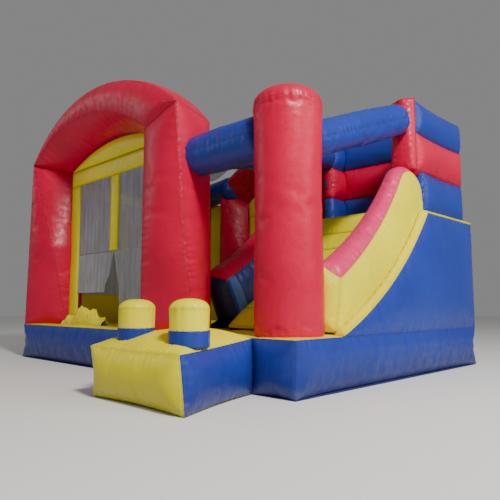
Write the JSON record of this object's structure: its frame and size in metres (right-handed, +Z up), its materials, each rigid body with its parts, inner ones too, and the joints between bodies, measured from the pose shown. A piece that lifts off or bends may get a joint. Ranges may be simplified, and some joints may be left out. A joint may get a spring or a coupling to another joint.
{
  "type": "inflatable bounce house",
  "caption": "Inflatable bounce house with an arched netted doorway, a jumping area, a climbing ramp and a curved slide that runs out to a front step.",
  "frame": {"origin": "centre of the base's underside, on the ground", "axes": "+X to the right as seen from the doorway, +Y to the back, +Z up"},
  "size_m": [4.96, 5.081, 3.42],
  "materials": {
    "vinyl_red": "satin coated fabric",
    "vinyl_blue": "satin coated fabric",
    "vinyl_yellow": "satin coated fabric",
    "netting": "woven polyester netting",
    "webbing": "woven webbing",
    "steel": "zinc plated"
  },
  "bodies": {
    "house": {"ground_sheet": "vinyl_blue", "base_walls": "vinyl_blue", "floor_top": "vinyl_yellow", "base_baffles": "vinyl_blue", "step_block": "vinyl_yellow", "step_side_panels": "vinyl_blue", "bollard_left": "vinyl_yellow", "bollard_right": "vinyl_yellow", "bollard_bands": "vinyl_blue", "corner_column": "vinyl_red", "back_left_post": "vinyl_red", "front_leg_left": "vinyl_red", "front_leg_right": "vinyl_red", "front_crown": "vinyl_red", "rear_leg_left": "vinyl_red", "rear_leg_right": "vinyl_red", "rear_crown": "vinyl_red", "front_beam": "vinyl_blue", "side_beam": "vinyl_blue", "left_beam": "vinyl_blue", "rear_beam": "vinyl_blue", "right_beam": "vinyl_blue", "tower_band_low": "vinyl_blue", "tower_band_mid": "vinyl_red", "tower_band_top": "vinyl_blue", "tower_end_post": "vinyl_red", "slide_lane": "vinyl_yellow", "platform": "vinyl_yellow", "slide_side_right": "vinyl_blue", "slide_side_left": "vinyl_blue", "slide_edge_strip": "vinyl_yellow", "slide_back_panel": "vinyl_blue", "slide_baffles": "vinyl_blue", "bolster_right": "vinyl_red", "bolster_left": "vinyl_blue", "climb_ramp": "vinyl_red", "climb_steps": "vinyl_blue", "grab_handles": "webbing", "door_frame": "vinyl_yellow", "door_windows": "netting", "door_sill_cloth": "vinyl_yellow", "left_wall_frame": "vinyl_yellow", "left_wall_nets": "netting", "rear_wall_frame": "vinyl_yellow", "rear_wall_nets": "netting", "roof_net": "netting", "inflation_sleeve": "vinyl_blue", "sleeve_tie": "webbing", "zip_tapes": "webbing", "anchor_tabs": "webbing"},
    "door_flap_left": {"door_flap_left": "netting"},
    "door_flap_right": {"door_flap_right": "netting"},
    "zip_slider": {"zip_slider": "steel"},
    "zip_flap": {"zip_flap": "vinyl_blue"},
    "ring_left_front": {"anchor_ring_left_front": "steel"},
    "ring_left_back": {"anchor_ring_left_back": "steel"},
    "ring_back_middle": {"anchor_ring_back_middle": "steel"},
    "ring_back_right": {"anchor_ring_back_right": "steel"}
  },
  "joints": [
    {"name": "flap_left_swing", "type": "hinge", "parent": "house", "child": "door_flap_left", "pos_m": [-1.25, -1.34, 1.395], "axis": [1, 0, 0], "range_deg": [-50, 60]},
    {"name": "flap_right_swing", "type": "hinge", "parent": "house", "child": "door_flap_right", "pos_m": [-0.33, -1.34, 1.395], "axis": [1, 0, 0], "range_deg": [-50, 60]},
    {"name": "zip_pull", "type": "slide", "parent": "house", "child": "zip_slider", "axis": [1, 0, 0], "range_m": [0, 0.54]},
    {"name": "zip_flap_lift", "type": "hinge", "parent": "house", "child": "zip_flap", "pos_m": [1.2, 1.758, 0.34], "axis": [1, 0, 0], "range_deg": [0, 110]},
    {"name": "ring_left_front_swing", "type": "hinge", "parent": "house", "child": "ring_left_front", "pos_m": [-2.468, -1.45, 0.14], "axis": [0, 1, 0], "range_deg": [0, 120]},
    {"name": "ring_left_back_swing", "type": "hinge", "parent": "house", "child": "ring_left_back", "pos_m": [-2.468, 1.45, 0.14], "axis": [0, 1, 0], "range_deg": [0, 120]},
    {"name": "ring_back_middle_swing", "type": "hinge", "parent": "house", "child": "ring_back_middle", "pos_m": [0.6, 1.748, 0.14], "axis": [1, 0, 0], "range_deg": [0, 120]},
    {"name": "ring_back_right_swing", "type": "hinge", "parent": "house", "child": "ring_back_right", "pos_m": [2.25, 1.748, 0.14], "axis": [1, 0, 0], "range_deg": [0, 120]}
  ]
}
